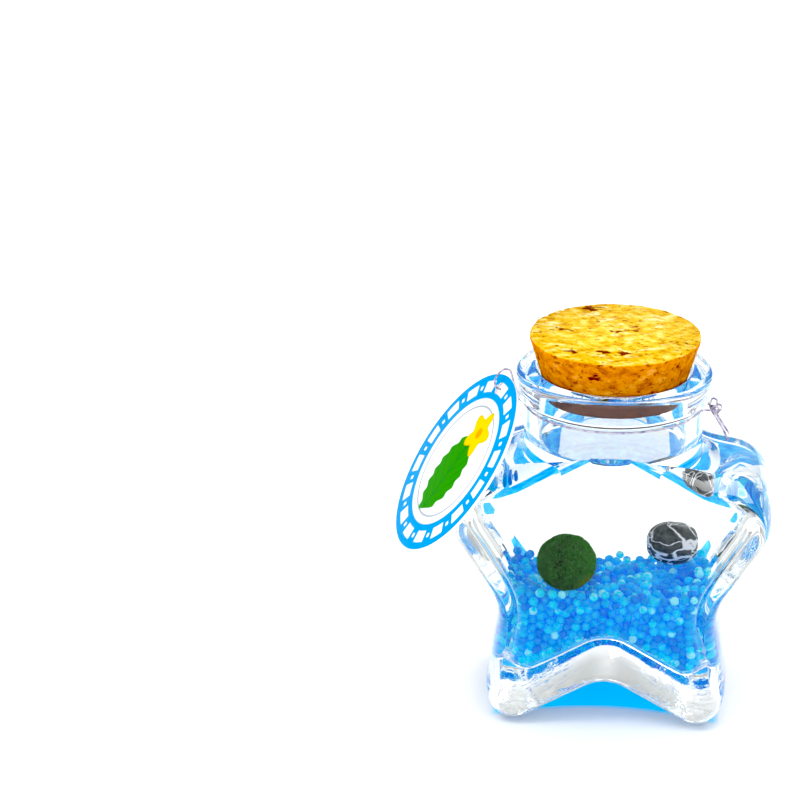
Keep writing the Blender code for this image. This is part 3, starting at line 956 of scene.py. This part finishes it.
dot = number("MULTIPLY", number("SUBTRACT", 1.0, inside(from_mark, 0.44, 0.02)),
             inside(from_middle, 0.022))
colour = tinted(colour, number("ADD", dash, dot), paper)
line = inside(number("ABSOLUTE", number("SUBTRACT", out, 0.625)), 0.012, 0.006)
colour = tinted(colour, line, (0.35, 0.40, 0.48))
ripples = number("MULTIPLY", number("SINE", number("MULTIPLY", upward, 46.0)), 0.016)
leaf = number("MULTIPLY", inside(number("ADD", far_from(0.22, -0.20), ripples), 0.56),
              inside(number("SUBTRACT", far_from(-0.26, -0.06), ripples), 0.56))
colour = tinted(colour, leaf, green)
rib = number("ABSOLUTE", number("SUBTRACT", across, number("MULTIPLY_ADD", upward, 0.20, 0.02)))
ribs = number("FRACT", number("MULTIPLY", number("SUBTRACT", upward, rib), 7.0))
veins = number("MAXIMUM", inside(rib, 0.012, 0.005), inside(ribs, 0.10, 0.04))
colour = tinted(colour, number("MULTIPLY", leaf, veins), (0.01, 0.20, 0.02))
petals = number("ARCTAN2", number("SUBTRACT", upward, 0.36), number("SUBTRACT", across, 0.16))
wave = number("MULTIPLY_ADD", number("COSINE", number("MULTIPLY", petals, 5.0)), 0.05, 0.20)
flower = inside(number("SUBTRACT", far_from(0.16, 0.36), wave), 0.0)
outline = inside(number("ABSOLUTE", number("SUBTRACT", far_from(0.16, 0.36), wave)), 0.012)
colour = tinted(colour, flower, (0.85, 0.55, 0.0))
colour = tinted(colour, outline, (0.75, 0.45, 0.0))
colour = tinted(colour, inside(far_from(0.16, 0.36), 0.06), (0.80, 0.32, 0.0))
colour = tinted(paper, own_attribute(shader, "front_side"), colour)
join(colour, shader.inputs["Base Color"])
tag.data.materials.clear()
tag.data.materials.append(card)
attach(tag, "root")
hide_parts("hang_tag")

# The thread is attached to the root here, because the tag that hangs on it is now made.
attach(thread, "root")
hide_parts("tag_thread")

# ------------------------------------------------------------------ table and light
# A plain white table and soft white light from all round, as in a light tent, with two large
# softboxes for the highlights and a darker lower half, which draws the glass's edges. Between the
# jar's feet a pool of blue light is painted on the table, with a faint painted glow, where light
# through the beads would fall.
TABLE_SIZE = 6.0
TABLE_GAP = 0.1 * MM
bpy.ops.object.select_all(action="DESELECT")
bpy.ops.mesh.primitive_plane_add(size=TABLE_SIZE, location=(0, 0, -TABLE_GAP))
table = bpy.context.object
table.name = "table"
table_top, shader = new_material("white_table", Roughness=0.45,
                                 Emission_Color=(0.0, 0.50, 0.85, 1.0))
x_place, y_place, _ = parts_of(own_place(shader))


def rising(value, low, high):
    """A soft step up from low to high."""
    step = ranged(value, low, high)
    step.node.interpolation_type = "SMOOTHSTEP"
    return step


# The painted pool of blue light: blue colour and a faint painted glow on the table between the
# feet.
from_side = number("ABSOLUTE", x_place)
front_edge = number("ADD", y_place, number("MULTIPLY", number("POWER", from_side, 2.0), 9.0))
painted_light_pool = number("MULTIPLY", rising(front_edge, -0.0105, -0.0080),
               number("SUBTRACT", 1.0, rising(y_place, 0.010, 0.018)))
painted_light_pool = number("MULTIPLY", painted_light_pool, number("SUBTRACT", 1.0, rising(from_side, 0.0235, 0.0265)))
join(tinted((0.95, 0.95, 0.95), painted_light_pool, (0.0, 0.62, 0.95)), shader.inputs["Base Color"])
join(number("MULTIPLY", painted_light_pool, 0.40), shader.inputs["Emission Strength"])
table.data.materials.append(table_top)

# Light that has come through the blue beads would also lie on the table behind the jar. It is
# painted on a blue sheet there, which the shoulders look down on; the sheet is seen through glass
# only.
painted_light_sheet_outline = [(-60, 44), (-60, 21), (-18, 21), (-18, 44), (18, 44), (18, 21), (60, 21), (60, 44),
                 (60, 80), (-60, 80), (-90, 80), (-51, 80), (-51, 200), (-90, 200), (51, 80),
                 (90, 80), (90, 200), (51, 200)]
painted_light_sheet_data = bpy.data.meshes.new("painted_blue_light_sheet")
painted_light_sheet_data.from_pydata([(x * MM, y * MM, 0.2 * MM) for x, y in painted_light_sheet_outline], [],
                       [(0, 1, 2, 3), (4, 5, 6, 7), (0, 3, 4, 7, 8, 9), (10, 11, 12, 13),
                        (14, 15, 16, 17)])
painted_light_sheet = put_in_scene("painted_blue_light_sheet", painted_light_sheet_data)
for kind in ("camera", "diffuse", "glossy", "shadow", "volume_scatter"):
    setattr(painted_light_sheet, f"visible_{kind}", False)
dapple, shader = new_material("dappled_painted_blue_light", Roughness=0.9, Specular_IOR_Level=0.0)
dapples = dapple.node_tree.nodes.new("ShaderNodeTexVoronoi")
dapples.inputs["Scale"].default_value = 320.0
join(own_place(shader), dapples.inputs["Vector"])
join(ramp(dapples.outputs["Distance"], (0.0, (0.10, 0.66, 1.0)), (0.75, (0.0, 0.26, 0.75))),
     shader.inputs["Base Color"])
painted_light_sheet_data.materials.append(dapple)


def softbox(name, place, size, power):
    """A rectangular white lamp aimed at the jar's middle."""
    data = bpy.data.lights.new(name, "AREA")
    data.shape = "RECTANGLE"
    data.size, data.size_y = size
    data.energy = power
    lamp = put_in_scene(name, data)
    lamp.location = place
    aim = Vector((0, 0, 0.04)) - Vector(place)
    lamp.rotation_euler = aim.to_track_quat("-Z", "Y").to_euler()


softbox("key softbox", (-0.35, -0.25, 0.65), (0.30, 0.30), 1.3)
softbox("back softbox", (0.30, 0.55, 0.55), (0.5, 0.3), 1.8)

world = bpy.data.worlds.new("light tent")
bpy.context.scene.world = world
world.use_nodes = True
background = world.node_tree.nodes["Background"]
heading = world.node_tree.nodes.new("ShaderNodeTexCoord")
_, from_front, height = parts_of(heading.outputs["Generated"])
join(ramp(height, (0.0, (0.46, 0.46, 0.45)), (0.60, (1.0, 1.0, 1.0))), background.inputs["Color"])
join(ranged(from_front, -1.0, 1.0, 1.75, 0.80), background.inputs["Strength"])
view = bpy.context.scene.view_settings
view.view_transform = "Standard"
view.use_curve_mapping = True
view.curve_mapping.black_level = (0.05, 0.05, 0.05)
view.curve_mapping.white_level = (0.92, 0.92, 0.92)
view.curve_mapping.update()
cycles = bpy.context.scene.cycles
cycles.max_bounces = 40
cycles.diffuse_bounces = 14
cycles.glossy_bounces = 24
cycles.transmission_bounces = 36
